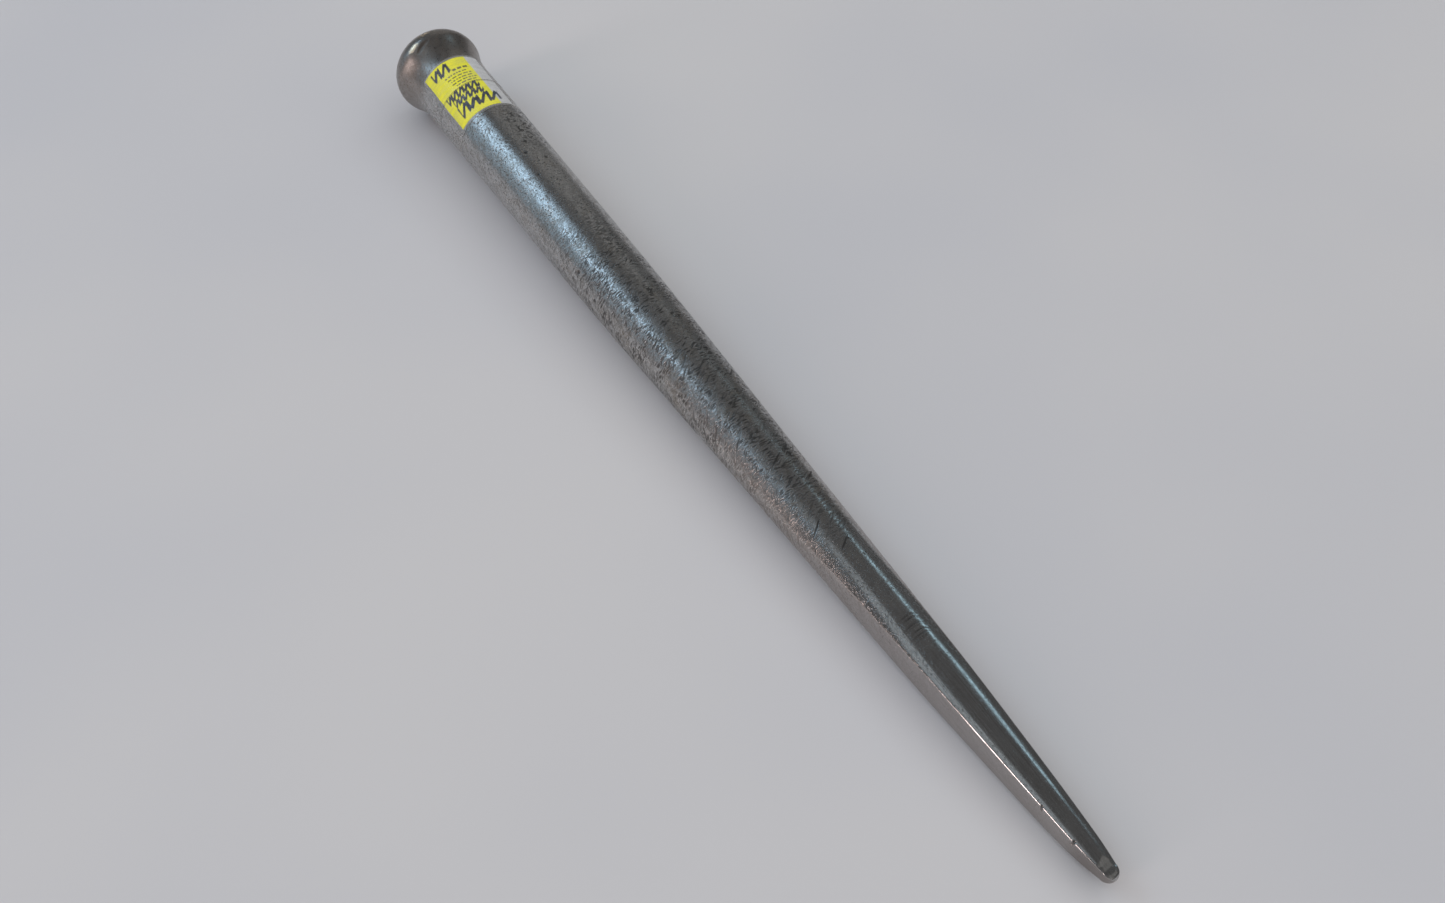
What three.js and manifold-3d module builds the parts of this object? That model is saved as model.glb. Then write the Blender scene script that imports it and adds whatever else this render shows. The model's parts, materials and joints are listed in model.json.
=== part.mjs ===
// A 19 inch marlin spike: one solid steel forging with a domed, flared head, a round shank and a
// blunt, squared point with flat sides, lying on its rim and its belly. A paper label is wrapped
// round part of the neck, under two turns of clear tape.
//
// Millimetres, +Z up. Each piece is built along its own +X axis, from the head to the point. The
// outer group then tips that axis down towards the point until the spike lies on the plane z = 0.

import * as THREE from 'three';
import { mergeVertices } from 'three/addons/utils/BufferGeometryUtils.js';
import Module from 'manifold-3d';

const wasm = await Module();
wasm.setup();

// ---- driving dimensions ------------------------------------------------------------------------

const LENGTH = 482.6;             // 19 in, from the struck end to the point
const STRUCK_RADIUS = 9.0;        // the small flat on the end of the head
const RIM_RADIUS = 21.3;
const RIM_X = 11.2;               // how far the widest ring of the head lies from the struck end
const HEAD_OFFSET = 0.6;          // the head is forged a little off centre, towards -Y
const FLARE_END_X = 31.0;         // where the flare has become the neck

// The body behind the head: distance from the struck end, width, height, how high the creases
// lie as a share of the half height, and how softly they are rounded. Flat sides meet a crowned
// top and bottom at the creases. With the creases at 0 the section is round.
const BODY = [
  { x: 31, width: 34.6, height: 34.6, crease: 0, soft: 0 },
  { x: 112, width: 33.4, height: 33.4, crease: 0, soft: 0 },
  { x: 192, width: 31.2, height: 31.1, crease: 0, soft: 0 },
  { x: 242, width: 28.7, height: 27.9, crease: 0, soft: 0 },
  { x: 282, width: 26.5, height: 24.2, crease: 0.05, soft: 0.4 },
  { x: 322, width: 23.5, height: 21.4, crease: 0.28, soft: 1.0 },
  { x: 362, width: 18.7, height: 18.8, crease: 0.61, soft: 0.9 },
  { x: 402, width: 15.2, height: 16.6, crease: 0.76, soft: 0.6 },
  { x: 432, width: 12.4, height: 14.2, crease: 0.78, soft: 0.5 },
  { x: 456, width: 9.8, height: 11.9, crease: 0.8, soft: 0.4 },
  { x: 470, width: 7.8, height: 9.3, crease: 0.8, soft: 0.4 },
  { x: 479, width: 5.6, height: 6.5, crease: 0.8, soft: 0.4 },
];
const POINT_ROUNDING_X = 479.0;   // from here the end of the point is rounded off
const BEVEL_START_X = 475.0;      // the small bevel ground on the top of the point
const BEVEL_DEPTH = 1.0;          // how far the bevel has cut down at the very end
const RISE_START_X = 456.0;       // from here the middle of the point curves up
const RISE = 1.7;                 // how far it has risen at the very end

const WEAR = 0.3;                 // depth of the two worn flats, under the rim and under the belly

const SIDES = 40;                 // facets round the forging, with one facet straight down
const BODY_STEP = 12;             // distance between sections along the body
const GAP = 0.3;                  // clearance between pieces that touch on the real object

const LABEL = { start: 27.5, end: 66.5, from: -43, to: 55, thickness: 0.3 };
const TAPE_THICKNESS = 0.3;
const TAPE_HEAD = { start: 26.0, end: 47.0 };
const TAPE_POINT = { start: 47.3, end: 68.3 };

// ---- shape of the forging ----------------------------------------------------------------------

// Value of one column of BODY at x, as a smooth curve through its stations.
function bodyValue(key, x) {
  const last = BODY.length - 1;
  let i = 0;
  while (i < last - 1 && x > BODY[i + 1].x) {
    i += 1;
  }
  const slope = (a, b) => (BODY[b][key] - BODY[a][key]) / (BODY[b].x - BODY[a].x);
  const span = BODY[i + 1].x - BODY[i].x;
  const startSlope = slope(Math.max(i - 1, 0), i + 1) * span;
  const endSlope = slope(i, Math.min(i + 2, last)) * span;
  const t = (x - BODY[i].x) / span;
  const rise = BODY[i + 1][key] - BODY[i][key];
  const curve = t * t * (3 - 2 * t) * rise;
  const bend = t * (1 - t) * ((1 - t) * startSlope - t * endSlope);
  return BODY[i][key] + curve + bend;
}

// Distance from the axis to the edge of the section, in the direction (side, up): flat sides at
// halfWidth, and a crowned top and bottom that are arcs from crease to crease.
function sectionReach(halfWidth, halfHeight, crease, soft, side, up) {
  const crown = halfHeight * (1 - crease);
  const radius = (halfWidth * halfWidth + crown * crown) / (2 * crown);
  const middle = halfHeight - radius;
  const arc = Math.abs(up) * middle + Math.sqrt(radius * radius - (middle * side) ** 2);
  const flat = halfWidth / Math.max(Math.abs(side), 1e-9);
  const rounding = Math.max(soft - Math.abs(arc - flat), 0);
  return Math.min(arc, flat) - (soft > 0 ? (rounding * rounding) / (4 * soft) : 0);
}

// One closed ring of points at x, scaled about the axis by scale.
function ringAt(x, section, scale) {
  const rise = RISE * shareBeyond(RISE_START_X, x) ** 2;
  const bevelTop = section.height / 2 + rise - BEVEL_DEPTH * shareBeyond(BEVEL_START_X, x);
  const ring = [];
  for (let i = 0; i < SIDES; i += 1) {
    const angle = ((i + 0.5) / SIDES) * 2 * Math.PI;
    const side = Math.sin(angle);
    const up = Math.cos(angle);
    const { width, height, crease, soft } = section;
    const reach = sectionReach(width / 2, height / 2, crease, soft, side, up) * scale;
    ring.push(new THREE.Vector3(x, reach * side, Math.min(reach * up + rise, bevelTop)));
  }
  return ring;
}

// How far x has gone from start to the very end of the point, as a share from 0 to 1.
function shareBeyond(start, x) {
  return Math.max((x - start) / (LENGTH - start), 0);
}

// A round ring of the head. Its offset fades out down the flare.
function headRing(x, radius) {
  const offset = HEAD_OFFSET * Math.min((FLARE_END_X - x) / (FLARE_END_X - RIM_X), 1);
  const ring = ringAt(x, { width: 2 * radius, height: 2 * radius, crease: 0, soft: 0 }, 1);
  ring.forEach((point) => point.setY(point.y - offset));
  return ring;
}

function bodyRing(x, scale = 1) {
  const station = Math.min(x, POINT_ROUNDING_X);
  const section = {
    width: bodyValue('width', station),
    height: bodyValue('height', station),
    crease: Math.max(bodyValue('crease', station), 0),
    soft: Math.max(bodyValue('soft', station), 0),
  };
  return ringAt(x, section, scale);
}

// The outline of the head, from the struck flat over the dome and down the flare to the neck.
function headOutline() {
  const neckRadius = BODY[0].width / 2;
  const outline = [];
  const domeSteps = 7;
  for (let i = 0; i < domeSteps; i += 1) {
    const angle = (i / domeSteps) * (Math.PI / 2);
    const x = RIM_X * (1 - Math.cos(angle));
    const radius = STRUCK_RADIUS + (RIM_RADIUS - STRUCK_RADIUS) * Math.sin(angle);
    outline.push(new THREE.Vector2(x, radius));
  }
  const flare = new THREE.CubicBezierCurve(
    new THREE.Vector2(RIM_X, RIM_RADIUS),
    new THREE.Vector2(RIM_X + 3.5, RIM_RADIUS),
    new THREE.Vector2(RIM_X + 6.5, neckRadius + 0.3),
    new THREE.Vector2(FLARE_END_X, neckRadius),
  );
  outline.push(...flare.getPoints(10).slice(0, -1));
  return outline;
}

// ---- mesh helpers ------------------------------------------------------------------------------

// Closed skin over rings that all have the same number of points, with a flat fan on each end.
function loft(rings) {
  const count = rings[0].length;
  const positions = rings.flat().flatMap((point) => point.toArray());
  const index = [];
  for (let r = 0; r < rings.length - 1; r += 1) {
    for (let i = 0; i < count; i += 1) {
      const next = (i + 1) % count;
      const a = r * count + i;
      const b = r * count + next;
      index.push(a, a + count, b, b, a + count, b + count);
    }
  }
  addFan(positions, index, rings[0], 0, false);
  addFan(positions, index, rings[rings.length - 1], (rings.length - 1) * count, true);
  const geometry = new THREE.BufferGeometry();
  geometry.setAttribute('position', new THREE.Float32BufferAttribute(positions, 3));
  geometry.setIndex(index);
  geometry.computeVertexNormals();
  return geometry;
}

function addFan(positions, index, ring, first, forwards) {
  const centre = positions.length / 3;
  const middle = ring.reduce((sum, point) => sum.add(point), new THREE.Vector3());
  positions.push(...middle.divideScalar(ring.length).toArray());
  for (let i = 0; i < ring.length; i += 1) {
    const a = first + i;
    const b = first + ((i + 1) % ring.length);
    if (forwards) {
      index.push(centre, b, a);
    } else {
      index.push(centre, a, b);
    }
  }
}

function toSolid(geometry) {
  const bare = new THREE.BufferGeometry();
  bare.setAttribute('position', geometry.attributes.position);
  bare.setIndex(geometry.index);
  const merged = mergeVertices(bare);
  const vertProperties = new Float32Array(merged.attributes.position.array);
  const triVerts = new Uint32Array(merged.index.array);
  return new wasm.Manifold(new wasm.Mesh({ numProp: 3, vertProperties, triVerts }));
}

function toGeometry(solid) {
  const mesh = solid.getMesh();
  const geometry = new THREE.BufferGeometry();
  geometry.setAttribute('position', new THREE.BufferAttribute(mesh.vertProperties, 3));
  geometry.setIndex(new THREE.BufferAttribute(mesh.triVerts, 1));
  geometry.computeVertexNormals();
  return geometry;
}

// Radius of the skin that wraps the round neck at x, at a given height above the steel.
function wrapRadius(x, lift) {
  return bodyValue('width', Math.max(x, BODY[0].x)) / 2 + flareRise(x) + lift;
}

// The flare has all but ended where the label begins; this is what is left of it at x.
function flareRise(x) {
  const left = Math.max(FLARE_END_X - x, 0) / (FLARE_END_X - RIM_X);
  return (RIM_RADIUS - BODY[0].width / 2) * left * left;
}

// ---- pieces ------------------------------------------------------------------------------------

function spikeForging() {
  const rings = headOutline().map((point) => headRing(point.x, point.y));
  const bodySteps = Math.round((POINT_ROUNDING_X - FLARE_END_X) / BODY_STEP);
  for (let i = 0; i <= bodySteps; i += 1) {
    rings.push(bodyRing(FLARE_END_X + ((POINT_ROUNDING_X - FLARE_END_X) * i) / bodySteps));
  }
  const roundingSteps = 4;
  for (let i = 1; i <= roundingSteps; i += 1) {
    const angle = (i / (roundingSteps + 0.7)) * (Math.PI / 2);
    const x = POINT_ROUNDING_X + (LENGTH - POINT_ROUNDING_X) * Math.sin(angle);
    rings.push(bodyRing(x, Math.cos(angle)));
  }
  const worn = toSolid(loft(rings)).subtract(toSolid(wornAway()));
  const material = new THREE.MeshStandardMaterial({ color: 0x4c4b4a, metalness: 1, roughness: 0.38 });
  return piece('spike_forging', toGeometry(worn), material);
}

// Block whose upper face is the table, WEAR deep into the underside of the rim and the belly.
function wornAway() {
  const thickness = 20;
  const block = new THREE.BoxGeometry(3 * LENGTH, 4 * RIM_RADIUS, thickness);
  block.translate(0, 0, -thickness / 2);
  block.rotateY(-restingSlope());
  block.translate(RIM_X, 0, WEAR - RIM_RADIUS);
  return block;
}

// Paper patch that follows the neck for part of a turn. Angles run from the top towards -Y.
function priceLabel() {
  const steps = 16;
  const stations = 5;
  const rings = [];
  for (let s = 0; s <= stations; s += 1) {
    const x = LABEL.start + ((LABEL.end - LABEL.start) * s) / stations;
    const inner = wrapRadius(x, GAP);
    const arc = (radius, i) => {
      const angle = THREE.MathUtils.degToRad(LABEL.from + ((LABEL.to - LABEL.from) * i) / steps);
      return new THREE.Vector3(x, -radius * Math.sin(angle), radius * Math.cos(angle));
    };
    const ring = [];
    for (let i = steps; i >= 0; i -= 1) {
      ring.push(arc(inner + LABEL.thickness, i));
    }
    for (let i = 0; i <= steps; i += 1) {
      ring.push(arc(inner, i));
    }
    rings.push(ring);
  }
  const material = new THREE.MeshStandardMaterial({ color: 0xe2dc22, metalness: 0, roughness: 0.6 });
  return piece('price_label', strip(rings), material);
}

// Like loft, with ends made of quads between the outer and the inner arc of a strip's section.
function strip(rings) {
  const count = rings[0].length;
  const geometry = loft(rings);
  const kept = Array.from(geometry.index.array).slice(0, (rings.length - 1) * count * 6);
  const last = (rings.length - 1) * count;
  for (let i = 0; i < count / 2 - 1; i += 1) {
    const a = i;
    const b = i + 1;
    const c = count - 1 - i;
    const d = count - 2 - i;
    kept.push(a, b, c, b, d, c);
    kept.push(last + b, last + a, last + c, last + b, last + c, last + d);
  }
  const positions = Array.from(geometry.attributes.position.array).slice(0, rings.length * count * 3);
  geometry.setAttribute('position', new THREE.Float32BufferAttribute(positions, 3));
  geometry.setIndex(kept);
  geometry.computeVertexNormals();
  return geometry;
}

// One full turn of clear tape, as a thin sleeve outside the label.
function tapeStrip(name, span) {
  const lift = GAP + LABEL.thickness + GAP;
  const stations = 4;
  const outline = [];
  for (let i = 0; i <= stations; i += 1) {
    const x = span.start + ((span.end - span.start) * i) / stations;
    outline.push(new THREE.Vector2(wrapRadius(x, lift), x));
  }
  for (let i = stations; i >= 0; i -= 1) {
    const x = span.start + ((span.end - span.start) * i) / stations;
    outline.push(new THREE.Vector2(wrapRadius(x, lift + TAPE_THICKNESS), x));
  }
  outline.push(outline[0].clone());
  const geometry = new THREE.LatheGeometry(outline.reverse(), SIDES);
  geometry.rotateZ(-Math.PI / 2);
  const material = new THREE.MeshStandardMaterial({
    color: 0xf4f4f2,
    metalness: 0,
    roughness: 0.15,
    transparent: true,
    opacity: 0.2,
  });
  return piece(name, geometry, material);
}

function piece(name, geometry, material) {
  const mesh = new THREE.Mesh(geometry, material);
  mesh.name = name;
  return mesh;
}

// ---- how it lies -------------------------------------------------------------------------------

// The table touches the rim and the belly, so the axis slopes by the least slope of any line from
// the bottom of the rim to the underside of the body.
function restingSlope() {
  let least = Infinity;
  for (let x = BODY[1].x; x <= POINT_ROUNDING_X; x += 1) {
    const slope = (RIM_RADIUS - bodyValue('height', x) / 2) / (x - RIM_X);
    least = Math.min(least, slope);
  }
  return Math.atan(least);
}

function layOnTable(pieces) {
  const spike = new THREE.Group();
  spike.add(...pieces);
  spike.rotation.y = restingSlope();
  const group = new THREE.Group();
  group.add(spike);
  group.updateMatrixWorld(true);
  const box = new THREE.Box3().setFromObject(group, true);
  const centre = box.getCenter(new THREE.Vector3());
  spike.position.set(-centre.x, -centre.y, -box.min.z);
  group.updateMatrixWorld(true);
  return group;
}

const group = layOnTable([
  spikeForging(),
  priceLabel(),
  tapeStrip('tape_strip_head', TAPE_HEAD),
  tapeStrip('tape_strip_point', TAPE_POINT),
]);

export default group;
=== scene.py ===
"""A 19 inch marlin spike: one dark steel forging, with a yellow paper label under two turns of
clear tape round its neck. Lengths in the shape section are in millimetres, and MM turns them into
the frame's metres. The spike is shaped along its own axis, x from the struck end of the head to
the point, and to_frame() then lays it in the frame as the CAD does."""

import json
import math

import bpy
import numpy as np
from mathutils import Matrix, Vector


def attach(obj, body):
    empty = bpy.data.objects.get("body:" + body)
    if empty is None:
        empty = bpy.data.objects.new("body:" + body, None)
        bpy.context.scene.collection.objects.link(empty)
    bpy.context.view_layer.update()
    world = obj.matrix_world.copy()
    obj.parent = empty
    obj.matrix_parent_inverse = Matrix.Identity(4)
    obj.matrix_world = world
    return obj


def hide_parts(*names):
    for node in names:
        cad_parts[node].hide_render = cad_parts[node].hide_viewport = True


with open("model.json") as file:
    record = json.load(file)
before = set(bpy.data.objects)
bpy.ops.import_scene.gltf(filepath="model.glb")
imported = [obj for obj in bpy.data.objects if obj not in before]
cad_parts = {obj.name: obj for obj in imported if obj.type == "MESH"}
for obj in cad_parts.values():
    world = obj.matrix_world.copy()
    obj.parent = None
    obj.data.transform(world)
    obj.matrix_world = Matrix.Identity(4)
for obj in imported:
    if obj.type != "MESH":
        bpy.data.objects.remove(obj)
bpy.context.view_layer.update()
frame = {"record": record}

MM = 0.001

# ---- where the spike lies ----------------------------------------------------------------------

STRUCK_END = next(m for m in frame["record"]["mounts"] if m["name"] == "struck_end")
HEAD_OFFSET = 0.6  # the head is forged this far off the axis, towards -Y
AXIS_X = -np.array(STRUCK_END["axis"])
AXIS_Y = np.array([0.0, 1.0, 0.0])
AXIS_Z = np.cross(AXIS_X, AXIS_Y)
ORIGIN = np.array(STRUCK_END["pos_m"]) / MM + HEAD_OFFSET * AXIS_Y

# ---- shape of the forging ----------------------------------------------------------------------

LENGTH = 482.6
STRUCK_RADIUS = 9.0
RIM_RADIUS = 21.3
RIM_X = 11.2
FLARE_END_X = 31.0
POINT_ROUNDING_X = 479.0
BEVEL_START_X, BEVEL_DEPTH = 475.0, 1.0
BEVEL_SOFT = 0.45
RISE_START_X, RISE = 456.0, 1.7

# Distance from the struck end, width, height, how high the creases lie as a share of the half
# height, and how softly they are rounded. With the creases at 0 the section is round.
BODY = np.array([
    (31, 34.6, 34.6, 0.0, 0.0),
    (112, 33.4, 33.4, 0.0, 0.0),
    (192, 31.2, 31.1, 0.0, 0.0),
    (242, 28.7, 27.9, 0.0, 0.0),
    (282, 26.5, 24.2, 0.05, 0.4),
    (322, 23.5, 21.4, 0.28, 1.0),
    (362, 18.7, 18.8, 0.61, 0.9),
    (402, 15.2, 16.6, 0.76, 0.6),
    (432, 12.4, 14.2, 0.78, 0.5),
    (456, 9.8, 11.9, 0.8, 0.4),
    (470, 7.8, 9.3, 0.8, 0.4),
    (479, 5.6, 6.5, 0.8, 0.4),
])

AROUND = 208  # points round each ring
# from, to, distance between rings: closer where the steel carries fine marks
RING_ZONES = [(31.4, 318, 0.62), (318, 338, 0.3), (338, 373, 0.62), (373, 388, 0.3),
              (388, 446, 0.55), (446, 479, 0.3)]


def body_values(x):
    """Width, height, crease share and softness at each x, as smooth curves through BODY."""
    x = np.clip(x, BODY[0, 0], BODY[-1, 0])
    i = np.clip(np.searchsorted(BODY[:, 0], x, side="right") - 1, 0, len(BODY) - 2)
    before, after = np.maximum(i - 1, 0), np.minimum(i + 2, len(BODY) - 1)
    span = (BODY[i + 1, 0] - BODY[i, 0])[:, None]
    start = (BODY[i + 1] - BODY[before]) / (BODY[i + 1, 0] - BODY[before, 0])[:, None] * span
    end = (BODY[after] - BODY[i]) / (BODY[after, 0] - BODY[i, 0])[:, None] * span
    t = (x - BODY[i, 0])[:, None] / span
    curve = t * t * (3 - 2 * t) * (BODY[i + 1] - BODY[i])
    bend = t * (1 - t) * ((1 - t) * start - t * end)
    return np.maximum((BODY[i] + curve + bend)[:, 1:], 0).T


def section_reach(half_width, half_height, crease, soft, side, up):
    """Distance from the axis to the surface in the direction (side, up): flat sides, and a
    crowned top and bottom that are arcs from crease to crease."""
    crown = half_height * (1 - crease)
    radius = (half_width**2 + crown**2) / (2 * crown)
    middle = half_height - radius
    arc = np.abs(up) * middle + np.sqrt(radius**2 - (middle * side)**2)
    flat = half_width / np.maximum(np.abs(side), 1e-9)
    soft = np.maximum(soft, 1e-6)
    rounding = np.maximum(soft - np.abs(arc - flat), 0)
    return np.minimum(arc, flat) - rounding**2 / (4 * soft)


def step_up(value, low, high):
    """Rises smoothly from 0 at low to 1 at high."""
    t = np.clip((value - low) / (high - low), 0, 1)
    return t * t * (3 - 2 * t)


def share_beyond(start, x):
    """0 up to start, then rising evenly to 1 at the point."""
    return np.maximum((x - start) / (LENGTH - start), 0)


def bezier(points, steps):
    """Points along a cubic curve given by its four control points."""
    t = np.linspace(0, 1, steps)[:, None]
    a, b, c, d = (np.array(p, float) for p in points)
    return (1 - t)**3 * a + 3 * t * (1 - t)**2 * b + 3 * t**2 * (1 - t) * c + t**3 * d


def head_outline():
    """(x, radius) over the struck flat, the dome and the flare, down to the neck."""
    neck = BODY[0, 1] / 2
    flat = [(0.0, r) for r in np.linspace(0.4, STRUCK_RADIUS - 1.0, 10)]
    turn = np.linspace(0, math.pi / 2, 44)[1:]
    dome = [
        (RIM_X * (1 - math.cos(a)), STRUCK_RADIUS + (RIM_RADIUS - STRUCK_RADIUS) * math.sin(a))
        for a in turn
    ]
    flare = bezier([
        (RIM_X, RIM_RADIUS),
        (RIM_X + 3.5, RIM_RADIUS),
        (RIM_X + 6.5, neck + 0.3),
        (FLARE_END_X, neck),
    ], 50)[1:]
    return np.array(flat + [(0.0, STRUCK_RADIUS)] + dome + [tuple(p) for p in flare])


def to_frame(points):
    """Points along the spike's own axes, in millimetres, to the frame, in metres."""
    return (ORIGIN + points @ np.array([AXIS_X, AXIS_Y, AXIS_Z])) * MM


# ---- marks in the steel's surface --------------------------------------------------------------

# x, angle from the top towards -Y in degrees, radius, depth
PITS = [
    (171, 60, 0.8, 0.4), (186, 72, 0.7, 0.3), (357, 64, 0.9, 0.1), (363, 56, 0.9, 0.08),
    (96, -8, 0.9, 0.2), (103, 4, 0.8, 0.2), (109, -20, 0.8, 0.2), (118, 10, 0.7, 0.2),
]
# x, angle, half width along x, half length round the corner, depth, lean of the cut
NICKS = [(452.6, 51.0, 0.42, 1.1, 0.45, 0.5), (466.6, 51.0, 0.5, 1.1, 0.5, -0.2)]
# Rows of parallel chatter marks: first x, count, pitch, from and to angle, depth
CHATTER = [(321.0, 15, 0.95, -52, 10, 0.05), (375.5, 11, 1.0, -45, 44, 0.07)]
# A chip in the front of the rim: x, angle, half width along x, half length round, depth
RIM_CHIP = (14.0, 20.5, 0.8, 3.2, 0.4)
# Where the rim is worn bare beside the chip and painted with a warm highlight: x, angle, half
# width, half length round
BARE_HIGHLIGHT_SPOT = (11.9, 31.0, 1.5, 3.6)


def turn_from(angle, degrees):
    """Angle from a direction given in degrees, wrapped to one turn."""
    return np.angle(np.exp(1j * (angle - math.radians(degrees))))


def waves(x, angle):
    """Slow unevenness left by the hammer and the grinder, about 0.1 mm."""
    slow = np.sin(x / 31.0 + 1.3 * np.sin(angle)) + 0.7 * np.sin(x / 17.3 + 2 * angle + 0.8)
    quick = np.sin(x / 7.9 + 3 * angle) * np.sin(x / 23.0 - angle)
    return 0.035 * slow + 0.02 * quick


def pit_depth(x, angle, reach):
    """Depth of the small round pits."""
    depth = np.zeros_like(x)
    for pit_x, degrees, radius, deep in PITS:
        away = np.hypot(x - pit_x, turn_from(angle, degrees) * reach) / radius
        depth += deep * np.exp(-away**2 * 1.6)
    return depth


def nick_depth(x, angle, reach):
    """Depth of the sharp nicks across the crease."""
    depth = np.zeros_like(x)
    for nick_x, degrees, half_width, half_length, deep, lean in NICKS:
        turn = turn_from(angle, degrees) * reach
        across = np.abs(x - nick_x - lean * turn * 0.4) / half_width
        along = np.abs(turn) / half_length
        depth += deep * np.clip(1 - across, 0, 1) * np.clip(1.3 - along**2, 0, 1)
    return depth


def chatter_depth(x, angle):
    """Depth of the rows of shallow, bowed chatter marks."""
    depth = np.zeros_like(x)
    for first, count, pitch, low, high, deep in CHATTER:
        middle, half = math.radians((low + high) / 2), math.radians((high - low) / 2)
        turn = np.angle(np.exp(1j * (angle - middle))) / half
        for i in range(count):
            bow = first + i * pitch + 1.6 * turn**2 + 0.35 * math.sin(2.4 * i)
            reach_share = 0.75 + 0.25 * math.sin(1.7 * i + 1)
            fade = np.clip(1.2 * (reach_share - np.abs(turn + 0.2 * math.sin(3.1 * i))), 0, 1)
            depth += deep * fade * np.exp(-((x - bow) / 0.3)**2)
    return depth


def rim_chip_depth(x, angle):
    """Depth of the slanting chip in the front of the rim."""
    chip_x, degrees, half_width, half_length, deep = RIM_CHIP
    along = turn_from(angle, degrees) * RIM_RADIUS / half_length
    across = (x - chip_x - 0.9 * along) / half_width
    return deep * np.exp(-(along**2 + across**2))


def bare_and_highlight(x, angle):
    """How far the rim is worn bare beside the chip and painted with a warm highlight."""
    spot_x, degrees, half_width, half_length = BARE_HIGHLIGHT_SPOT
    along = turn_from(angle, degrees) * RIM_RADIUS / half_length
    across = (x - spot_x - 0.5 * along) / half_width
    ragged = 0.35 * np.sin(9 * along + 2 * across) * np.sin(5 * across + 3 * along)
    return np.clip(1.6 - 1.6 * (along**2 + across**2) + ragged, 0, 1)


def steel_reach(x, angle):
    """Distance from the axis to the smooth steel of the neck and the round shank."""
    outline = head_outline()
    width, height, crease, soft = body_values(x.ravel())
    side, up = np.sin(angle.ravel()), np.cos(angle.ravel())
    reach = section_reach(width / 2, height / 2, crease, soft, side, up)
    flare = np.interp(x.ravel(), outline[:, 0], outline[:, 1])
    reach = np.where(x.ravel() < FLARE_END_X, flare, reach).reshape(x.shape)
    return reach + waves(x, angle)


def ring_turns():
    """Angles of the points of a ring, from -pi to pi: 0 is the top, and positive is towards -Y."""
    return (np.arange(AROUND) + 0.5) / AROUND * 2 * math.pi - math.pi


def forging_rings():
    """Every ring of the forging, as an array of rings x AROUND x 3, in millimetres, with the
    place of each point on the surface, x, length round from the top and depth of the marks, and
    how far the rim is worn bare and painted with a warm highlight there."""
    turn = ring_turns()
    side, up = np.sin(turn), np.cos(turn)
    outline = head_outline()
    body_x = np.concatenate([np.arange(*zone) for zone in RING_ZONES])
    rounding = np.linspace(0, 1, 18)[:-1] * math.pi / 2
    end_x = POINT_ROUNDING_X + (LENGTH - POINT_ROUNDING_X) * np.sin(rounding)
    ring_x = np.concatenate([body_x, end_x])
    scale = np.concatenate([np.ones_like(body_x), np.cos(rounding)])
    width, height, crease, soft = (v[:, None] for v in body_values(ring_x))
    body_reach = section_reach(width / 2, height / 2, crease, soft, side[None], up[None])
    body_reach = body_reach * scale[:, None]

    x = np.concatenate([outline[:, 0], ring_x])[:, None] + 0 * side
    reach = np.concatenate([outline[:, 1:] + 0 * side, body_reach])
    angle = turn[None] + 0 * x
    shift = HEAD_OFFSET * np.clip((FLARE_END_X - x) / (FLARE_END_X - RIM_X), 0, 1)
    rise = RISE * share_beyond(RISE_START_X, x)**2
    worked = np.clip((x - 2.0) / 6.0, 0, 1) * np.clip((LENGTH - x) / 6.0, 0, 1)
    marks = pit_depth(x, angle, reach) + nick_depth(x, angle, reach)
    marks += chatter_depth(x, angle) + rim_chip_depth(x, angle)
    place = np.stack([x, angle * reach, marks], -1)
    bare_highlight = bare_and_highlight(x, angle)
    reach = reach + (waves(x, angle) * worked - marks) * np.clip(reach / 4.0, 0, 1)
    heights = np.concatenate([np.full((len(outline), 1), 100.0), height])
    bevel = share_beyond(BEVEL_START_X, x)
    top = heights / 2 + rise - BEVEL_DEPTH * bevel * (0.75 + 0.45 * side)
    y = -reach * np.sin(angle) - shift
    bevelled = np.clip(bevel * 4, 0, 1)
    soft = BEVEL_SOFT * np.maximum(bevelled, 0.01)
    level = reach * np.cos(angle) + rise
    z = np.minimum(level, top) - soft * np.exp(-np.abs(level - top) / soft) * bevelled / 2
    return np.stack([x, y, z], -1), place, bare_highlight


# ---- meshes ------------------------------------------------------------------------------------

def grid_faces(rows, columns, closed):
    """Four-sided faces over a grid of points, which may close on itself across the columns."""
    r = np.arange(rows - 1)[:, None]
    c = np.arange(columns if closed else columns - 1)[None]
    nxt = (c + 1) % columns
    corners = [r * columns + c, (r + 1) * columns + c, (r + 1) * columns + nxt, r * columns + nxt]
    return np.stack([k + 0 * (r + c) for k in corners], -1).reshape(-1, 4)


def mesh_object(name, points, faces, material, smooth=True):
    mesh = bpy.data.meshes.new(name)
    mesh.from_pydata([tuple(p) for p in points], [], [tuple(f) for f in faces])
    mesh.validate()
    mesh.polygons.foreach_set("use_smooth", [smooth] * len(mesh.polygons))
    made = bpy.data.objects.new(name, mesh)
    bpy.context.scene.collection.objects.link(made)
    mesh.materials.append(material)
    return made


def add_attribute(made, name, values, kind):
    """Stores one value or vector on each point of a mesh, for its material to read."""
    attribute = made.data.attributes.new(name, kind, "POINT")
    key = "value" if kind == "FLOAT" else "vector"
    attribute.data.foreach_set(key, np.ascontiguousarray(values, dtype=np.float32).ravel())


# The flat sides of the point end, painted with a warm reflection, in degrees from the top, and the
# distance along the spike over which they begin. Then the painted shade under the tip, in the same
# way.
FLANK_TURNS, FLANK_FROM = ((44, 54), (126, 136)), (250, 330)
PAINTED_TIP_SHADE, TIP_SHADE_TURNS, TIP_SHADE_FROM = 0.75, (44, 56), (462, 473)


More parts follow.
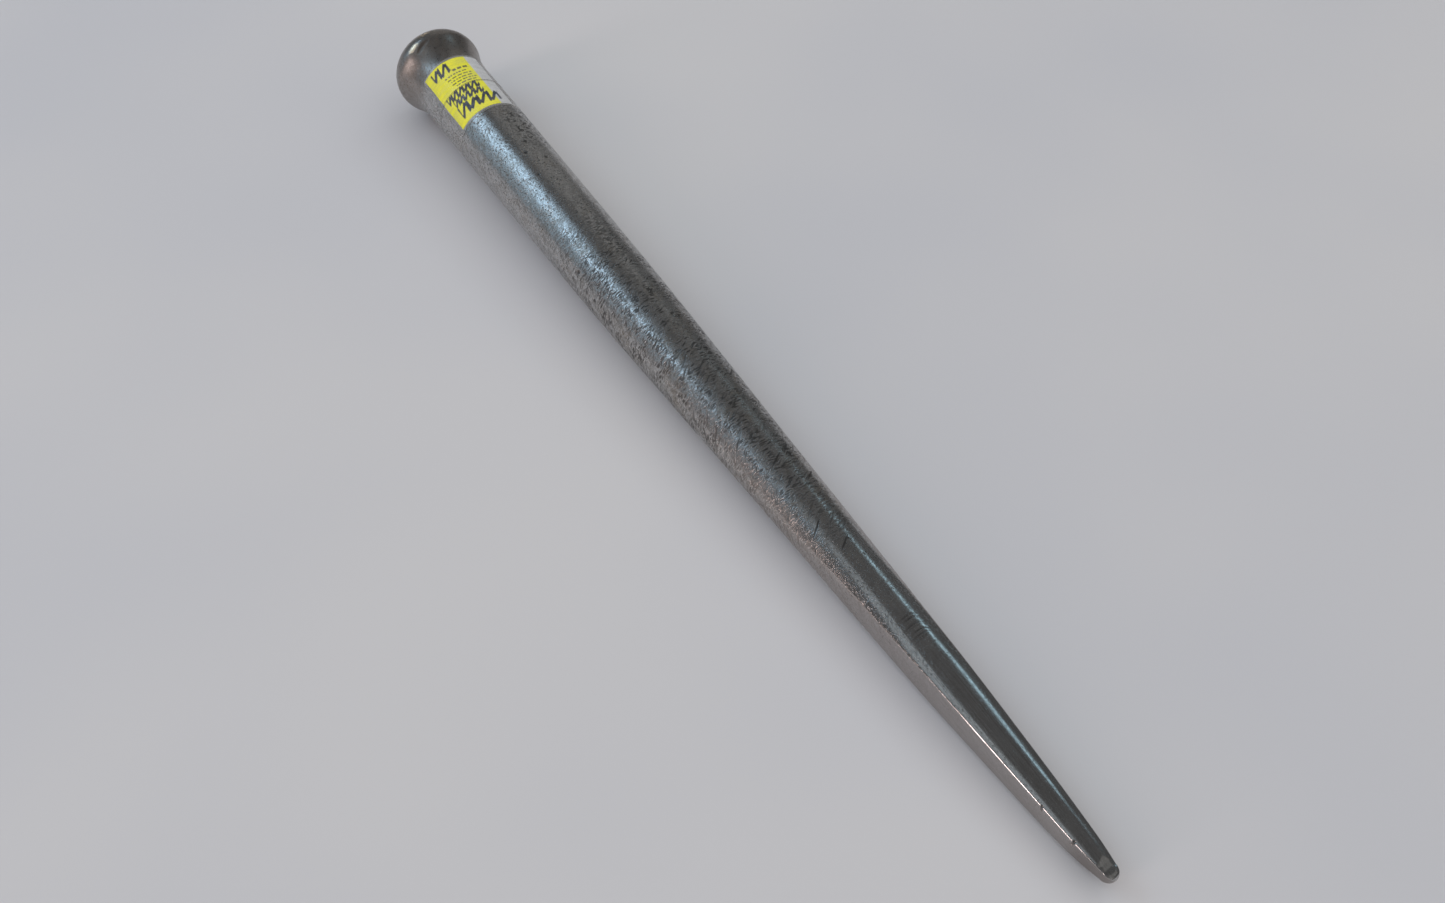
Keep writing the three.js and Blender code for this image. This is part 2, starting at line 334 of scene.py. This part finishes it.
def forging(material):
    """The spike as one closed mesh, with the values its material reads at each point."""
    rings, place, bare_highlight = forging_rings()
    rows = len(rings)
    ends = np.array([rings[0].mean(0), rings[-1].mean(0) + [0.02, 0, 0]])
    points = to_frame(np.concatenate([rings.reshape(-1, 3), ends]))
    points[:, 2] = np.maximum(points[:, 2], 0.0)
    faces = [tuple(f) for f in grid_faces(rows, AROUND, True)[:, ::-1]]
    first, last = rows * AROUND, rows * AROUND + 1
    base = (rows - 1) * AROUND
    for i in range(AROUND):
        j = (i + 1) % AROUND
        faces.append((first, j, i))
        faces.append((last, base + i, base + j))
    made = mesh_object("forged_spike", points, faces, material)
    place = np.concatenate([place.reshape(-1, 3), [[0, 0, 0], [LENGTH, 0, 0]]])
    add_attribute(made, "place", place, "FLOAT_VECTOR")
    add_attribute(made, "bare_highlight", np.append(bare_highlight.ravel(), [0, 0]), "FLOAT")
    turn = np.degrees(np.abs(ring_turns()))
    # painted reflection: the flat sides of the point get a lighter, warm colour
    flank_sheen = step_up(turn, *FLANK_TURNS[0]) * (1 - step_up(turn, *FLANK_TURNS[1]))
    flank_sheen = flank_sheen * step_up(rings[..., 0], *FLANK_FROM)
    add_attribute(made, "flank_sheen", np.append(flank_sheen.ravel(), [0, 0]), "FLOAT")
    # painted shade: the sides and underside near the tip are darkened
    painted_tip_shade = PAINTED_TIP_SHADE * step_up(turn, *TIP_SHADE_TURNS) * step_up(rings[..., 0], *TIP_SHADE_FROM)
    add_attribute(made, "painted_tip_shade", np.append(painted_tip_shade.ravel(), [0, PAINTED_TIP_SHADE]), "FLOAT")
    return made


def wrap_rings(start, end, low, high, along, around):
    """Grid of x and angle over part of the neck. Angles are in degrees from the top."""
    x = np.linspace(start, end, along)[:, None] + np.zeros((1, around))
    angle = np.radians(np.linspace(low, high, around))[None] + np.zeros((along, 1))
    return x, angle


def on_neck(x, angle, lift):
    """Points at a height above the steel of the neck."""
    reach = steel_reach(x, angle) + lift
    return np.stack([x, -reach * np.sin(angle), reach * np.cos(angle)], -1)


def slab(name, outer, inner, closed, material):
    """Closed thin sheet between two grids of points, which may run right round the neck."""
    rows, columns = outer.shape[:2]
    count = rows * columns
    top = grid_faces(rows, columns, closed)
    faces = [tuple(f) for f in top[:, ::-1]] + [tuple(f + count) for f in top]
    turns = range(columns if closed else columns - 1)
    for c in turns:
        d = (c + 1) % columns
        faces.append((c, d, count + d, count + c))
        a, b = (rows - 1) * columns + c, (rows - 1) * columns + d
        faces.append((b, a, count + a, count + b))
    if not closed:
        for r in range(rows - 1):
            a, b = r * columns, (r + 1) * columns
            faces.append((b, a, count + a, count + b))
            a, b = a + columns - 1, b + columns - 1
            faces.append((a, b, count + b, count + a))
    points = to_frame(np.concatenate([outer.reshape(-1, 3), inner.reshape(-1, 3)]))
    return mesh_object(name, points, faces, material)


# ---- label and tape ----------------------------------------------------------------------------

LABEL_START, LABEL_END = 27.5, 66.5
LABEL_FROM, LABEL_TO = -43.0, 55.0
MARGIN_TO = -21.0
LABEL_LIFT, PAPER = 0.04, 0.1
TAPE = 0.05
TAPE_LIFT = 0.05
TAPE_STRIPS = {"tape_head": (26.0, 47.0), "tape_point": (47.3, 68.3)}
TAPE_NODES = {"tape_head": "tape_strip_head", "tape_point": "tape_strip_point"}

# Pen scrawl on the label: distance from the head end, half height, length of one wave, from and
# to across the label from its -Y edge, and half width of the pen, all in millimetres.
SCRAWLS = [
    (4.4, 2.3, 4.6, 3.5, 13.5, 0.9),
    (21.8, 1.6, 3.3, 2.0, 20.5, 0.75),
    (26.4, 1.3, 2.9, 4.0, 20.5, 0.75),
    (32.4, 2.6, 5.4, 3.5, 25.5, 0.95),
]
# Rows of small print, drawn as plain dashes: distance from the head end, from, to, half width.
DASH_ROWS = [
    (7.6, 13.5, 22.0, 0.7), (10.2, 8.0, 19.5, 0.42), (12.2, 8.5, 21.5, 0.38),
    (14.1, 9.5, 21.0, 0.38), (15.9, 9.0, 22.0, 0.38), (17.7, 10.5, 21.0, 0.38),
]


def ink_on_label(along, across):
    """How much ink lies at each point: 1 in a stroke, 0 on bare paper."""
    ink = np.zeros_like(along)
    for row, high, wave, start, end, pen in SCRAWLS:
        slant = across + 0.35 * (along - row)
        phase = 2 * math.pi * (slant - start) / wave
        path = row + high * np.sin(phase) * (0.75 + 0.25 * np.sin(phase * 0.37 + row))
        slope = 2 * math.pi * high / wave * np.abs(np.cos(phase))
        away = np.abs(along - path) / np.sqrt(1 + slope**2)
        inside = np.clip((across - start) * 2, 0, 1) * np.clip((end - across) * 2, 0, 1)
        ink = np.maximum(ink, np.clip((pen - away) / 0.16 + 0.5, 0, 1) * inside)
    for n, (row, start, end, pen) in enumerate(DASH_ROWS):
        beat = np.sin(across * 4.3 + n) + 0.8 * np.sin(across * 2.3 + 2.3 * n) + 0.5
        dash = np.clip(beat * 2.5 + 0.5, 0, 1)
        inside = np.clip((across - start) * 3, 0, 1) * np.clip((end - across) * 3, 0, 1)
        away = np.abs(along - row)
        ink = np.maximum(ink, 0.85 * np.clip((pen - away) / 0.14 + 0.5, 0, 1) * inside * dash)
    return ink


def paper_label(material):
    """The label: a thin curved sheet that carries its ink and margin as point values."""
    x, angle = wrap_rings(LABEL_START, LABEL_END, LABEL_FROM, LABEL_TO, 200, 160)
    jog = np.where(x > TAPE_STRIPS["tape_head"][1], 0.012, -0.012)
    angle = angle + jog * np.clip((x - 44) / 6, -1, 1)**2
    outer = on_neck(x, angle, LABEL_LIFT + PAPER)
    inner = on_neck(x, angle, LABEL_LIFT)
    made = slab("paper_label", outer, inner, False, material)
    across = (math.radians(LABEL_TO) - angle) * BODY[0, 1] / 2
    ink = ink_on_label(x - LABEL_START, across)
    margin = np.clip((math.radians(MARGIN_TO) - angle) * 40 + 0.5, 0, 1)
    place = np.stack([x, across, 0 * x], -1).reshape(-1, 3)
    add_attribute(made, "ink", np.tile(ink.ravel(), 2), "FLOAT")
    add_attribute(made, "margin", np.tile(margin.ravel(), 2), "FLOAT")
    add_attribute(made, "place", np.tile(place, (2, 1)), "FLOAT_VECTOR")
    return made


def tape_strip(name, span, material):
    """One turn of tape, which steps up over the label and back down to the steel."""
    start, end = span
    x, angle = wrap_rings(start, end, -180, 180 - 360 / 240, 56, 240)
    degrees = np.degrees(angle)
    over = step_up(degrees, LABEL_FROM - 4, LABEL_FROM)
    over = over * step_up(-degrees, -LABEL_TO - 4, -LABEL_TO)
    over = over * step_up(x, LABEL_START - 1, LABEL_START) * step_up(-x, -LABEL_END - 1, -LABEL_END)
    lift = TAPE_LIFT + (LABEL_LIFT + PAPER) * over
    made = slab(name, on_neck(x, angle, lift + TAPE), on_neck(x, angle, lift), True, material)
    edge = 1 - np.clip(np.minimum(x - start, end - x) / 0.6, 0, 1)
    tent = 4 * over * (1 - over)
    place = np.stack([x, angle * BODY[0, 1] / 2, 0 * x], -1).reshape(-1, 3)
    add_attribute(made, "edge", np.tile(edge.ravel(), 2), "FLOAT")
    add_attribute(made, "tent", np.tile(tent.ravel(), 2), "FLOAT")
    add_attribute(made, "place", np.tile(place, (2, 1)), "FLOAT_VECTOR")
    return made


# ---- materials ---------------------------------------------------------------------------------

class Nodes:
    """Short calls for building one material's node tree."""

    def __init__(self, name):
        self.material = bpy.data.materials.new(name)
        self.material.use_nodes = True
        self.tree = self.material.node_tree
        self.shader = self.tree.nodes["Principled BSDF"]

    def add(self, kind, **settings):
        node = self.tree.nodes.new("ShaderNode" + kind)
        for key, value in settings.items():
            setattr(node, key, value)
        return node

    def link(self, source, target):
        self.tree.links.new(source, target)

    def fill(self, socket, value):
        if isinstance(value, bpy.types.NodeSocket):
            self.link(value, socket)
        else:
            socket.default_value = value

    def set(self, **values):
        for key, value in values.items():
            self.fill(self.shader.inputs[key.replace("_", " ")], value)

    def math(self, operation, a, b=0.0, clamp=False):
        node = self.add("Math", operation=operation, use_clamp=clamp)
        self.fill(node.inputs[0], a)
        self.fill(node.inputs[1], b)
        return node.outputs[0]

    def ramp(self, value, low, high, out_low=0.0, out_high=1.0):
        """Maps low..high to out_low..out_high smoothly, and holds the ends."""
        node = self.add("MapRange", interpolation_type="SMOOTHSTEP")
        self.fill(node.inputs["Value"], value)
        node.inputs["From Min"].default_value = low
        node.inputs["From Max"].default_value = high
        node.inputs["To Min"].default_value = out_low
        node.inputs["To Max"].default_value = out_high
        return node.outputs["Result"]

    def mix(self, share, a, b, blend="MIX"):
        node = self.add("Mix", data_type="RGBA", blend_type=blend)
        self.fill(node.inputs["Factor"], share)
        self.fill(node.inputs[6], a)
        self.fill(node.inputs[7], b)
        return node.outputs[2]

    def attribute(self, name, output="Fac"):
        return self.add("Attribute", attribute_name=name).outputs[output]

    def moved(self, vector, turn=0.0, scale=(1, 1, 1), shift=(0, 0, 0)):
        """The vector turned back by an angle in degrees, then scaled and shifted."""
        if turn:
            node = self.add("Mapping")
            self.link(vector, node.inputs["Vector"])
            node.inputs["Rotation"].default_value = (0, 0, -math.radians(turn))
            vector = node.outputs["Vector"]
        node = self.add("Mapping")
        self.link(vector, node.inputs["Vector"])
        node.inputs["Location"].default_value = shift
        node.inputs["Scale"].default_value = scale
        return node.outputs["Vector"]

    def noise(self, vector, scale, detail=4.0, rough=0.55, distort=0.0):
        node = self.add("TexNoise", noise_dimensions="3D")
        self.link(vector, node.inputs["Vector"])
        node.inputs["Scale"].default_value = scale
        node.inputs["Detail"].default_value = detail
        node.inputs["Roughness"].default_value = rough
        node.inputs["Distortion"].default_value = distort
        return node.outputs["Fac"]

    def bent(self, vector, scale, amount):
        """The vector shifted by slow noise, so that straight marks wander."""
        noise = self.add("TexNoise", noise_dimensions="3D")
        self.link(vector, noise.inputs["Vector"])
        noise.inputs["Scale"].default_value = scale
        noise.inputs["Detail"].default_value = 2.0
        node = self.add("VectorMath", operation="MULTIPLY_ADD")
        self.link(noise.outputs["Color"], node.inputs[0])
        node.inputs[1].default_value = (amount, amount, 0)
        self.link(vector, node.inputs[2])
        return node.outputs[0]

    def dashes(self, vector, turn, length, spacing, size, shift=0.0):
        """Short marks of one slant, scattered over the surface: 1 inside a mark."""
        cell = self.add("TexVoronoi", voronoi_dimensions="2D", feature="F1")
        lay = self.moved(vector, turn, (1 / length, 1 / spacing, 1), (shift, shift, 0))
        self.link(lay, cell.inputs["Vector"])
        cell.inputs["Scale"].default_value = 1.0
        inside = self.ramp(cell.outputs["Distance"], size * 0.55, size, 1.0, 0.0)
        pick = self.add("SeparateColor")
        self.link(cell.outputs["Color"], pick.inputs[0])
        return self.math("MULTIPLY", inside, self.ramp(pick.outputs[0], 0.15, 0.7))

    def bump(self, height, distance, normal=None):
        node = self.add("Bump")
        node.inputs["Distance"].default_value = distance
        node.inputs["Strength"].default_value = 1.0
        self.link(height, node.inputs["Height"])
        if normal:
            self.link(normal, node.inputs["Normal"])
        return node.outputs["Normal"]


# Zones along the steel in millimetres from the struck end. Each begins or ends gradually between
# its two numbers.
HEAD_TO = (34, 22)
LABEL_DIRT_FROM, LABEL_DIRT_TO = (67, 72), (118, 84)
SCRATCHED_FROM, SCRATCHED_TO = (115, 185), (365, 300)
DULL_FROM, DULL_TO = (160, 210), (360, 310)
LONG_CUTS_FROM = (190, 260)
SMOOTHER = (240, 350)
SHINIER = (240, 370)
POLISHED_FROM = (325, 400)
CLEANER = (330, 430)
PATINA_THINS = (330, 420)

BRIGHT_STEEL = (0.62, 0.615, 0.61, 1)
GREY_PATINA = (0.25, 0.24, 0.225, 1)
BROWN_PATINA = (0.22, 0.185, 0.145, 1)
FINE_DIRT = (0.18, 0.17, 0.16, 1)
WORN_STREAK = (0.33, 0.31, 0.29, 1)
# Colour of dark marks, also used for painted shade in the dents and under the tip
DARK_MARK_AND_SHADE = (0.04, 0.036, 0.033, 1)
# Painted reflection: lighter, warm colours for the flat sides of the point, for the warm light they
# mirror
FLANK_SHEEN_LIGHT, FLANK_SHEEN_DARK = (0.5, 0.44, 0.41, 1), (0.36, 0.31, 0.28, 1)
HEAD_PATINA = (0.24, 0.2, 0.17, 1)
# Warm cream of the worn rim spot: bare steel with a painted highlight of the warm lamp
BARE_METAL_HIGHLIGHT = (1.0, 0.78, 0.56, 1)
STEEL_BUMP = 0.00005


def steel():
    """Old forged steel: brown-grey patina over a ground surface that is scratched across, and
    polished by use towards the point."""
    m = Nodes("dark_forged_steel")
    place = m.attribute("place", "Vector")
    split = m.add("SeparateXYZ")
    m.link(place, split.inputs[0])
    x, marks = split.outputs[0], split.outputs[2]
    flat = m.moved(place, scale=(1, 1, 0))
    bent = m.bent(flat, 0.3, 2.4)

    polish = m.ramp(x, *POLISHED_FROM)
    shank = m.math("SUBTRACT", 1.0, polish)
    cloud = m.noise(m.moved(bent, 30, (0.17, 0.36, 1)), 1.0, 8.0, 0.72, 0.2)
    grain = m.noise(bent, 1.1, 5.0, 0.8)
    fine = m.noise(flat, 4.0, 3.0, 0.7)
    streak = m.noise(m.moved(flat, scale=(0.05, 1.6, 1)), 1.0, 4.0, 0.6)

    # patina: drifting clouds broken up by fine grain, duller over the scratched part
    cloudy = m.ramp(cloud, 0.42, 0.64, 0.0, 0.46)
    patina = m.math("ADD", cloudy, m.ramp(grain, 0.44, 0.58, 0.0, 0.42))
    dull = m.math("MULTIPLY", m.ramp(x, *DULL_FROM), m.ramp(x, *DULL_TO, 0.0, 0.14))
    patina = m.math("MULTIPLY", patina, m.ramp(x, *PATINA_THINS, 1.0, 0.3))
    patina = m.math("ADD", patina, dull, clamp=True)

    # scratches: two dense sets that run nearly round the shank, a slanting one, and long cuts
    zone = m.math("MULTIPLY", m.ramp(x, *SCRATCHED_FROM), m.ramp(x, *SCRATCHED_TO))
    zone = m.math("ADD", m.math("MULTIPLY", zone, 0.95), m.math("MULTIPLY", shank, 0.05))
    wavy = m.bent(flat, 0.12, 1.4)
    steep = m.dashes(wavy, 84, 3.4, 0.95, 0.42)
    leaning = m.dashes(wavy, 102, 3.8, 1.05, 0.4, 7.3)
    slant = m.dashes(wavy, 58, 6.0, 1.2, 0.3, 3.1)
    broken = m.ramp(m.noise(flat, 0.13, 3.0), 0.4, 0.55, 0.35, 1.0)
    scratch = m.math("MAXIMUM", m.math("MAXIMUM", steep, leaning), slant)
    scratch = m.math("MULTIPLY", m.math("MULTIPLY", scratch, zone), broken)
    long_cut = m.dashes(m.bent(flat, 0.1, 3.0), 52, 30.0, 3.4, 0.16, 1.7)
    long_cut = m.math("MULTIPLY", long_cut, m.math("MULTIPLY", m.ramp(x, *LONG_CUTS_FROM), shank))
    scratch = m.math("MAXIMUM", scratch, long_cut)

    # dark specks, thicker in patches and beside the label, and everything else that is dark, with
    # painted shade in the dents and under the tip
    speck = m.ramp(m.noise(flat, 0.9, 4.0, 0.85), 0.54, 0.6)
    thick = m.ramp(m.noise(flat, 0.09, 3.0), 0.42, 0.56, 0.45, 1.0)
    speck = m.math("MULTIPLY", speck, m.math("MULTIPLY", thick, m.ramp(x, *CLEANER, 1.0, 0.25)))
    patch = m.math("MULTIPLY", m.ramp(x, *LABEL_DIRT_FROM), m.ramp(x, *LABEL_DIRT_TO))
    patch = m.math("MULTIPLY", patch, m.ramp(split.outputs[1], 2, -5))
    spots = m.math("MULTIPLY", m.ramp(m.noise(flat, 0.55, 3.0, 0.7), 0.52, 0.57), patch)
    speck = m.math("MAXIMUM", speck, spots)
    # painted shade: the dents are darkened by their depth
    dark_marks_and_shade = m.math("MAXIMUM", m.math("MAXIMUM", scratch, speck), m.ramp(marks, 0.006, 0.1))
    # painted shade under the tip, added to the dark marks
    dark_marks_and_shade = m.math("MAXIMUM", dark_marks_and_shade, m.attribute("painted_tip_shade"))
    bare_highlight = m.attribute("bare_highlight")
    head = m.ramp(x, *HEAD_TO)

    # colour and gloss
    rust = m.ramp(m.noise(flat, 0.05, 4.0, 0.7), 0.45, 0.62)
    rust = m.mix(m.math("MULTIPLY", rust, shank), GREY_PATINA, BROWN_PATINA)
    colour = m.mix(patina, BRIGHT_STEEL, rust)
    colour = m.mix(m.ramp(fine, 0.38, 0.66, 0.0, 0.5), colour, FINE_DIRT)
    worn = m.math("MULTIPLY", m.ramp(streak, 0.4, 0.65), m.math("MULTIPLY", polish, 0.45))
    colour = m.mix(worn, colour, WORN_STREAK)
    # dark marks, and painted shade in the dents and under the tip
    colour = m.mix(m.math("MULTIPLY", dark_marks_and_shade, 0.8), colour, DARK_MARK_AND_SHADE)
    # painted reflection: the flat sides are mixed halfway to the lighter, warm colour
    flank_sheen = m.math("MULTIPLY", m.attribute("flank_sheen"), 0.5)
    colour = m.mix(flank_sheen, colour, m.mix(grain, FLANK_SHEEN_LIGHT, FLANK_SHEEN_DARK))
    colour = m.mix(m.math("MULTIPLY", head, 0.6), colour, HEAD_PATINA)
    # worn bare spot on the rim, with a painted warm highlight
    colour = m.mix(bare_highlight, colour, BARE_METAL_HIGHLIGHT)
    metal = m.math("SUBTRACT", 1.0, m.math("MULTIPLY", patina, 0.2))
    rough = m.math("ADD", m.math("MULTIPLY", patina, 0.1), m.ramp(x, *SHINIER, 0.22, 0.13))
    rough = m.math("ADD", rough, m.math("MULTIPLY", dark_marks_and_shade, 0.2))
    rough = m.math("ADD", rough, m.math("MULTIPLY", head, 0.05))
    m.set(Base_Color=colour, Metallic=metal, Roughness=rough)

    # relief too fine for the mesh
    height = m.math("ADD", grain, m.math("MULTIPLY", fine, 0.4))
    height = m.math("MULTIPLY", height, m.ramp(x, *SMOOTHER, 0.27, 0.04))
    height = m.math("ADD", height, m.math("MULTIPLY", streak, m.math("MULTIPLY", polish, 0.12)))
    height = m.math("SUBTRACT", height, m.math("MULTIPLY", dark_marks_and_shade, 0.7))
    m.set(Normal=m.bump(height, STEEL_BUMP))
    return m.material


def label_paper():
    """Fluorescent yellow shop label with a white margin and blue-black pen."""
    m = Nodes("yellow_label_paper")
    place = m.attribute("place", "Vector")
    fibre = m.noise(place, 2.5, 4.0, 0.6)
    cloud = m.noise(place, 0.15, 2.0)
    yellow = m.mix(m.ramp(cloud, 0.3, 0.7), (0.93, 0.88, 0.004, 1), (0.84, 0.81, 0.006, 1))
    white = m.mix(m.ramp(fibre, 0.35, 0.65), (0.58, 0.58, 0.6, 1), (0.7, 0.7, 0.7, 1))
    paper = m.mix(m.attribute("margin"), yellow, white)
    ink = m.mix(m.ramp(cloud, 0.4, 0.6), (0.003, 0.006, 0.015, 1), (0.004, 0.015, 0.045, 1))
    colour = m.mix(m.attribute("ink"), paper, ink)
    m.set(Base_Color=colour, Roughness=m.ramp(fibre, 0.3, 0.7, 0.5, 0.62))
    m.set(Normal=m.bump(fibre, 0.00002))
    return m.material


def clear_tape():
    """Thin glossy film, a little cloudy, with a patchy painted shadow line along its cut edges."""
    m = Nodes("clear_tape_film")
    place = m.attribute("place", "Vector")
    haze = m.noise(m.moved(place, scale=(0.5, 0.08, 1)), 1.0, 3.0)
    # painted shade: a patchy dark line along the tape's cut edges
    edge_shade_patches = m.ramp(m.noise(place, 0.9, 3.0), 0.3, 0.6, 0.2, 0.55)
    edge = m.math("MULTIPLY", m.attribute("edge"), edge_shade_patches)
    tent = m.math("MULTIPLY", m.attribute("tent"), 0.3)
    film = m.ramp(haze, 0.35, 0.65, 0.03, 0.09)
    alpha = m.math("MAXIMUM", m.math("MAXIMUM", film, edge), tent)
    # dark brown of the painted shadow line along the cut edges
    film_colour = m.mix(m.attribute("edge"), (0.66, 0.66, 0.64, 1), (0.2, 0.19, 0.17, 1))
    m.set(Base_Color=film_colour, Roughness=0.14, Alpha=alpha)
    m.set(Normal=m.bump(haze, 0.00002))
    return m.material


# ---- camera, floor and light -------------------------------------------------------------------

LENS = 33.63
CAMERA_FROM = (56.7, 51.75)  # azimuth and elevation of the camera, seen from the aim
CAMERA_AWAY = 0.517
CAMERA_AIM = (0.0362, -0.0110, 0.0140)
FLOOR_SIZE = 4.0  # half the side of the floor, in metres

# Soft panels: name, azimuth, elevation, width and height in degrees as seen from the spike,
# colour, radiance and distance in metres. The first ones are seen in the steel.
SEEN_PANELS = [
    ("window", -58, 38.5, 36, 17, (0.54, 0.78, 1.0), 2.1, 4.0),
    ("window_low", -46, 17, 36, 26, (0.55, 0.8, 1.0), 0.44, 4.2),
    ("window_halo", -13, 65, 26, 20, (0.8, 0.92, 1.0), 0.38, 4.2),
    ("window_far", -166, 42, 20, 8, (0.55, 0.84, 1.0), 1.05, 4.0),
    ("card_side", 82, 22, 36, 24, (1.0, 0.97, 0.93), 0.24, 4.0),
    ("room_far", -122, 25, 30, 44, (1.0, 0.99, 0.97), 0.19, 4.0),
    ("low_warm", 0, 20, 12, 28, (1.0, 0.84, 0.82), 7.2, 3.8),
    ("lamp_behind", -100, 4, 6, 3, (1.0, 0.85, 0.6), 6.0, 3.8),
    ("card_overhead", 102, 55, 60, 42, (1.0, 1.0, 0.97), 0.13, 4.0),
]
# These only light the scene and aren't mirrored in the steel.
UNSEEN_PANELS = [
    ("ceiling", 0, 90, 110, 110, (1.0, 0.99, 0.99), 0.63, 4.0),
    ("ceiling_far", 165, 48, 60, 44, (1.0, 0.985, 0.97), 0.4, 4.0),
]


def direction(azimuth, elevation):
    """Unit vector from the spike: azimuth 0 is towards -Y, 90 towards +X."""
    a, e = math.radians(azimuth), math.radians(elevation)
    return Vector((math.sin(a) * math.cos(e), -math.cos(a) * math.cos(e), math.sin(e)))


def add_camera():
    data = bpy.data.cameras.new("camera")
    data.sensor_width = 36.0
    data.lens = LENS
    data.clip_start, data.clip_end = 0.01, 20.0
    camera = bpy.data.objects.new("camera", data)
    bpy.context.scene.collection.objects.link(camera)
    back = direction(*CAMERA_FROM)
    camera.rotation_mode = "QUATERNION"
    camera.location = Vector(CAMERA_AIM) + back * CAMERA_AWAY
    camera.rotation_quaternion = (-back).to_track_quat("-Z", "Y")
    bpy.context.scene.camera = camera


def add_floor():
    m = Nodes("pale_floor")
    where = m.add("TexCoord").outputs["Object"]
    cloud = m.noise(where, 3.5, 2.0)
    tone = m.mix(m.ramp(cloud, 0.3, 0.7), (0.585, 0.585, 0.61, 1), (0.635, 0.625, 0.63, 1))
    m.set(Base_Color=tone, Roughness=0.75)
    half = FLOOR_SIZE
    points = [(-half, -half, 0), (half, -half, 0), (half, half, 0), (-half, half, 0)]
    floor = mesh_object("floor", points, [(0, 1, 2, 3)], m.material)


def add_panel(panel, seen):
    """A soft light panel that faces the spike."""
    name, azimuth, elevation, width, height, colour, radiance, away = panel
    data = bpy.data.lights.new(name, "AREA")
    data.shape = "RECTANGLE"
    data.size = 2 * away * math.tan(math.radians(width / 2))
    data.size_y = 2 * away * math.tan(math.radians(height / 2))
    data.color = colour
    data.energy = radiance * math.pi * data.size * data.size_y
    light = bpy.data.objects.new(name, data)
    bpy.context.scene.collection.objects.link(light)
    towards = direction(azimuth, elevation)
    light.location = towards * away
    light.rotation_mode = "QUATERNION"
    light.rotation_quaternion = (-towards).to_track_quat("-Z", "Y")
    light.visible_glossy = seen


def add_light():
    world = bpy.data.worlds.new("room")
    world.use_nodes = True
    background = world.node_tree.nodes["Background"]
    background.inputs["Color"].default_value = (0.97, 0.98, 1.0, 1)
    background.inputs["Strength"].default_value = 0.1
    bpy.context.scene.world = world
    for panel in SEEN_PANELS:
        add_panel(panel, True)
    for panel in UNSEEN_PANELS:
        add_panel(panel, False)


# ---- the model ---------------------------------------------------------------------------------

def build():
    scene = bpy.context.scene
    scene.view_settings.view_transform = "Standard"
    add_camera()
    add_floor()
    add_light()
    spike = forging(steel())
    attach(spike, "root")
    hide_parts("spike_forging")
    label = paper_label(label_paper())
    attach(label, "root")
    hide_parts("price_label")
    film = clear_tape()
    for name, span in TAPE_STRIPS.items():
        strip = tape_strip(name, span, film)
        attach(strip, "root")
        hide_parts(TAPE_NODES[name])


build()
